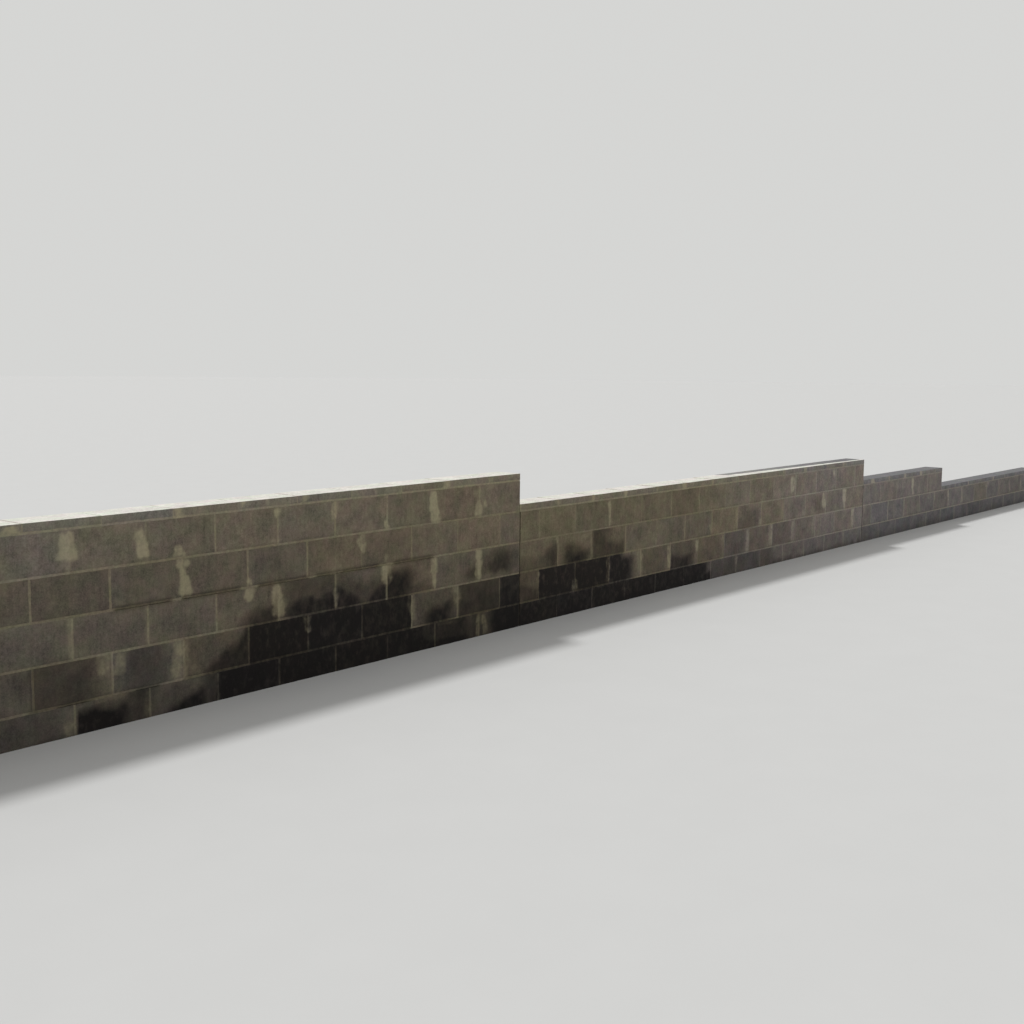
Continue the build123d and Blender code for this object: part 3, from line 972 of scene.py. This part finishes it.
def masonry_finish(name, unit_colours, joint_colours):
    """Cast concrete with sandy grain and pores, with painted sunlight on part of the capping tops and
    painted shade on the rest; mortar in the joints, a haze of it beside them and smears of it over them;
    and damp, with the painted shadow of the raked beds, that darkens it all."""
    recipe = Recipe(bpy.data.materials.new(name))
    mix, noise, field = recipe.mix, recipe.noise, recipe.field
    keys = ("unit", "mortar", "rim", "top", "painted_sun", "light", "warm", "damp")
    unit, mortar, rim, top, painted_sun, light, warmth, damp = [field(key) for key in keys]
    place = recipe.place()
    own = recipe.moved(place, *[unit * metres for metres in UNIT_SHIFT])

    # Units: their colour, patina, the painted sunlight and shade on their tops, and their tone, from wide
    # clouds to fine grain
    cloud = noise("cloud", own)
    mottle = noise("mottle", own)
    speck = noise("speck", place)
    grain = noise("grain", place)
    streak = noise("streak", recipe.stretched(own, 0.12))
    pores = (1 - recipe.cells(place, PORES_PER_METRE).step("pore")) * mottle.step("pored")
    pale = (light - warmth + 0.5 * damp).step("pale")
    patina = sway(field("olive"), (1.6, noise("patina", place))).limited()
    block = mix(sway(warmth, (0.4, cloud)).limited(), unit_colours[0], unit_colours[1])
    block = mix(patina * 0.8, block, unit_colours[2])
    block = mix(pale, block, recipe.cast(block, COOL_CAST))
    # The tops carry painted sunlight in white, along part of the first two cappings, and painted shade in
    # grey elsewhere
    painted_sun_strip = sway(field("painted_sun_strip"), (0.02, cloud)).step("painted_sun_strip")
    painted_top = mix(painted_sun + (1 - painted_sun) * painted_sun_strip, PAINTED_SHADE_TOP_GREY, PAINTED_SUN_WHITE)
    block = mix(top * sway(0.90, (0.4, mottle)), block, painted_top)
    tone = sway(0, (0.85, cloud), (0.90, mottle), (0.90, speck), (0.50, streak), (0.45, grain))
    tone = 1 + (tone - 0.35 * pores) * (1 - 0.5 * top)
    block = recipe.scaled(block, tone * (light * (1 - top) + top))

    # Mortar: its colour by age, how far it laps over the units, and the smears on top
    sand = noise("sand", place)
    lumps = noise("lumps", place)
    ragged = noise("ragged", place)
    age = sway(warmth, (1.5, noise("age", place))).limited()
    joint_colour = mix(pale, mix(age, joint_colours[0], joint_colours[1]), joint_colours[2])
    tone = 0.88 + sway(0, (0.45, sand), (0.8, lumps))
    tone = tone * (0.50 + 0.50 * light) * (1 - 0.12 * patina)
    joint_colour = recipe.scaled(joint_colour, tone)
    tone = sway(1, (0.35, sand), (0.6, lumps)) * (0.52 + 0.48 * light)
    smeared = recipe.scaled(mix(pale, SMEAR_OLIVE, SMEAR_COOL), tone)
    smear = sway(field("smear") * (0.72 + 0.56 * ragged), (0.40, ragged)).step("smear")
    haze = rim * noise("haze", place).step("haze")
    lap = sway(0.0012, (0.0075, noise("lap", place)), (0.0045, ragged))
    edge = (lap - field("inside")).step("lap")
    joint = sway(edge * mortar, (0.35, ragged)).step("joint")
    joint = joint * (1 - 0.30 * noise("gaps", place).step("gaps"))
    surface = mix((haze * (0.22 + 0.35 * patina)).limited(), block, joint_colour)
    surface = mix(joint, surface, joint_colour)
    surface = mix(smear * 0.84, surface, mix(smear, joint_colour, smeared))

    # A faint play of pink and green, and the damp, with the painted shadow of the raked beds, and its
    # rusty margin
    cast = mix(noise("hue", place).step("hue"), PINK_CAST, GREEN_CAST)
    surface = mix(1 - 0.6 * smear, surface, cast, "MULTIPLY")
    drift = noise("drift", recipe.stretched(place, 0.7))
    wet_and_shaded = damp * sway(1, (0.80, drift), (0.25, mottle), (0.15, streak))
    wet_and_shaded = (wet_and_shaded * (1 - 0.14 * joint) * (1 - 0.42 * smear * smear)).limited()
    margin = (wet_and_shaded * (1 - wet_and_shaded) * 4).limited() * noise("margin", place).step("margin")
    surface = mix(margin * 0.3, surface, recipe.cast(surface, MARGIN_CAST))
    surface = mix(wet_and_shaded, surface, recipe.cast(surface, SOAKED_AND_SHADED_CAST))

    coarse = recipe.bump("mortar", lumps * (joint + smear).limited() + smear * 0.5)
    fine = recipe.bump("grain", 0.5 * grain + 0.6 * speck + 0.5 * mottle - 0.8 * pores, coarse)
    return recipe.finish(
        Base_Color=surface, Roughness=0.94 - 0.16 * wet_and_shaded, Normal=fine, Specular_IOR_Level=0.22)


def sealant_finish():
    """Dark flexible sealant, dusty in patches, with faint ripples down its length."""
    recipe = Recipe(bpy.data.materials.new("sealant"))
    place = recipe.place()
    dust = recipe.noise("dust", place)
    ripples = recipe.noise("ripples", recipe.stretched(place, 0.25))
    colour = recipe.mix(dust.step("dust"), SEALANT_DARK, SEALANT_DUST)
    relief = recipe.bump("ripples", ripples)
    return recipe.finish(Base_Color=colour, Roughness=0.6 + 0.3 * dust, Normal=relief)


def filler_finish():
    """Dark fibre board, seen only where the sealant stops."""
    recipe = Recipe(bpy.data.materials.new("joint_filler"))
    fibres = recipe.noise("fibres", recipe.stretched(recipe.place(), 6.0))
    colour = recipe.mix(fibres, BOARD_DARK, BOARD_LIGHT)
    relief = recipe.bump("fibres", fibres)
    return recipe.finish(Base_Color=colour, Roughness=0.95 - 0.1 * fibres, Normal=relief)


# Finishes, as read in plain light
BLOCK_GREY = screen(107, 106, 104)
BLOCK_BROWN = screen(116, 104, 88)
BLOCK_OLIVE = screen(112, 105, 82)
TILE_GREY = screen(119, 119, 117)
TILE_BROWN = screen(128, 118, 101)
TILE_OLIVE = screen(124, 117, 93)
# Tops: painted sunlight, and painted shade
PAINTED_SUN_WHITE = screen(212, 209, 201)
PAINTED_SHADE_TOP_GREY = screen(103, 102, 104)
MORTAR_GREY = screen(150, 142, 125)
MORTAR_OLIVE = screen(140, 130, 105)
MORTAR_PALE = screen(156, 147, 121)
MORTAR_COOL = screen(149, 142, 133)
SMEAR_OLIVE = screen(158, 150, 122)
SMEAR_COOL = screen(161, 154, 138)
SEALANT_DARK = screen(38, 33, 28)
SEALANT_DUST = screen(76, 68, 55)
BOARD_DARK = screen(34, 30, 28)
BOARD_LIGHT = screen(66, 58, 50)

# Casts, which multiply a colour
COOL_CAST = (0.988, 0.968, 1.055)
PINK_CAST = (1.022, 0.971, 1.012)
GREEN_CAST = (0.966, 1.035, 0.975)
MARGIN_CAST = (1.0, 0.90, 0.78)
# Damp, and the painted shadow of the raked beds, darken by this cast
SOAKED_AND_SHADED_CAST = (0.066, 0.057, 0.060)

block_finish = masonry_finish(
    "concrete_block", (BLOCK_GREY, BLOCK_BROWN, BLOCK_OLIVE), (MORTAR_GREY, MORTAR_OLIVE, MORTAR_COOL))
tile_finish = masonry_finish(
    "capping_tile", (TILE_GREY, TILE_BROWN, TILE_OLIVE), (MORTAR_GREY, MORTAR_PALE, MORTAR_COOL))
sealant = sealant_finish()
board = filler_finish()

# Courses, in the order of their random draws, and those whose right end stands free, at least in part
COURSES = [f"bay_1_course_{number}" for number in range(1, 6)]
COURSES += [f"bay_2_course_{number}" for number in range(1, 5)]
COURSES += ["bay_3_course_3", "bays_3_4_course_1", "bays_3_4_course_2"]
FREE_ON_THE_RIGHT = COURSES[4:5] + COURSES[8:]
for seed, name in enumerate(COURSES):
    low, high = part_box(name)
    first = BLOCK_LENGTH if name[-1] in "135" else HALF_BLOCK
    units = lay_units(low.x, high.x, first, BLOCK_LENGTH, JOINT)
    free_ends = (name.startswith("bay_1"), name in FREE_ON_THE_RIGHT)
    Course(name, units, high.z - BLOCK_HEIGHT, high.z, free_ends, seed + 1).put(block_finish)

# Capping: bay 1 is laid from its cut tile at the step with tight joints, the others from the step
TILES = {
    "bay_1_capping": (BAY_1_CUT_TILE, TIGHT_TILE_JOINT),
    "bay_2_capping": (TILE_LENGTH, OPEN_TILE_JOINT),
    "bay_3_capping": (BAY_3_CUT_TILE, OPEN_TILE_JOINT),
    "bay_4_capping": (TILE_LENGTH, OPEN_TILE_JOINT),
}
for seed, (name, (first, joint)) in enumerate(TILES.items()):
    low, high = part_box(name)
    start, end = (high.x, low.x) if name == "bay_1_capping" else (low.x + joint, high.x)
    units = lay_units(start, end, first, TILE_LENGTH, joint)
    free_ends = (name == "bay_1_capping", True)
    capping = Course(name, units, low.z + JOINT, high.z, free_ends, seed + 40, capping=True)
    capping.put(tile_finish)

for joint in ("joint_1", "joint_2"):
    put_bead(f"{joint}_front_seal", sealant)
    put_bead(f"{joint}_back_seal", sealant)
    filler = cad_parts[f"{joint}_filler"]
    filler.data.materials.clear()
    filler.data.materials.append(board)


def put_camera():
    """The camera stands where the photograph was taken from and looks the same way."""
    forward = np.array([
        math.sin(CAMERA_YAW) * math.cos(CAMERA_PITCH),
        math.cos(CAMERA_YAW) * math.cos(CAMERA_PITCH),
        math.sin(CAMERA_PITCH),
    ])
    level = np.array([math.cos(CAMERA_YAW), -math.sin(CAMERA_YAW), 0.0])
    upright = np.cross(level, forward)
    right = math.cos(CAMERA_ROLL) * level + math.sin(CAMERA_ROLL) * upright
    up = math.cos(CAMERA_ROLL) * upright - math.sin(CAMERA_ROLL) * level
    data = bpy.data.cameras.new("camera")
    data.sensor_width = SENSOR_WIDTH
    data.lens = CAMERA_LENS
    data.clip_end = CLIP_END
    camera = bpy.data.objects.new("camera", data)
    bpy.context.scene.collection.objects.link(camera)
    turn = np.eye(4)
    turn[:3] = np.stack([right, up, -forward, CAMERA_PLACE], 1)
    camera.matrix_world = turn.T
    bpy.context.scene.camera = camera


def put_floor():
    """A wide round floor, of rings whose radius grows as the square of their number."""
    rings, spokes = FLOOR_RINGS, FLOOR_SPOKES
    radius = FLOOR_REACH * (np.arange(1, rings + 1) / rings) ** 2
    radius = radius[:, None]
    angle = np.linspace(0, 2 * np.pi, spokes, endpoint=False)
    rim = [radius * np.cos(angle), radius * np.sin(angle), np.zeros((rings, spokes))]
    points = np.concatenate([np.zeros((1, 3)), np.stack(rim, -1).reshape(-1, 3)])
    index = 1 + np.arange(rings * spokes).reshape(rings, spokes)
    after = np.roll(index, -1, axis=1)
    squares = np.stack([index[:-1], index[1:], after[1:], after[:-1]], -1).reshape(-1, 4)
    hub = np.stack([np.zeros(spokes, int), index[0], after[0]], -1)
    mesh = bpy.data.meshes.new("floor")
    mesh.from_pydata(points.tolist(), [], hub.tolist() + squares.tolist())
    recipe = Recipe(bpy.data.materials.new("floor"))
    tone = recipe.noise("floor", recipe.place())
    colour = recipe.scaled(FLOOR_COLOUR, 0.98 + 0.04 * tone)
    mesh.materials.append(recipe.finish(Base_Color=colour, Roughness=0.9))
    floor = bpy.data.objects.new("floor", mesh)
    bpy.context.scene.collection.objects.link(floor)
    floor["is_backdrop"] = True


def put_light():
    """Even light from all round, and a soft lamp high behind the wall."""
    world = bpy.data.worlds.new("studio")
    bpy.context.scene.world = world
    recipe = Recipe(world)
    recipe.tree.nodes.remove(recipe.tree.nodes["Background"])
    inputs = {"Color": (1.0, 1.0, 1.0), "Strength": SURROUND_STRENGTH}
    surround = recipe.node("ShaderNodeBackground", {}, inputs)
    backdrop = recipe.node("ShaderNodeBackground", {}, {"Color": BACKDROP_COLOUR})
    in_camera = recipe.node("ShaderNodeLightPath", {}, {}, "Is Camera Ray")
    in_gloss = recipe.node("ShaderNodeLightPath", {}, {}, "Is Glossy Ray")
    seen = recipe.node("ShaderNodeMath", {"operation": "MAXIMUM"}, {0: in_camera, 1: in_gloss})
    choice = recipe.node("ShaderNodeMixShader", {}, {"Fac": seen, 1: surround, 2: backdrop})
    recipe.join(choice, recipe.tree.nodes["World Output"].inputs["Surface"])
    lamp = bpy.data.lights.new("lamp", "SUN")
    lamp.energy = LAMP_STRENGTH
    lamp.angle = LAMP_SOFTNESS
    holder = bpy.data.objects.new("lamp", lamp)
    holder.rotation_euler = LAMP_TURN
    bpy.context.scene.collection.objects.link(holder)


# Floor and light
FLOOR_RINGS = 14
FLOOR_SPOKES = 72
FLOOR_REACH = 90.0
FLOOR_COLOUR = (0.52, 0.52, 0.51)
BACKDROP_COLOUR = (0.667, 0.669, 0.656)
SURROUND_STRENGTH = 0.62
LAMP_STRENGTH = 2.2
LAMP_SOFTNESS = math.radians(9.0)
LAMP_TURN = (math.radians(-30.0), 0.0, math.radians(-12.0))

put_camera()
put_floor()
put_light()
bpy.context.scene.view_settings.view_transform = "Standard"

low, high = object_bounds()
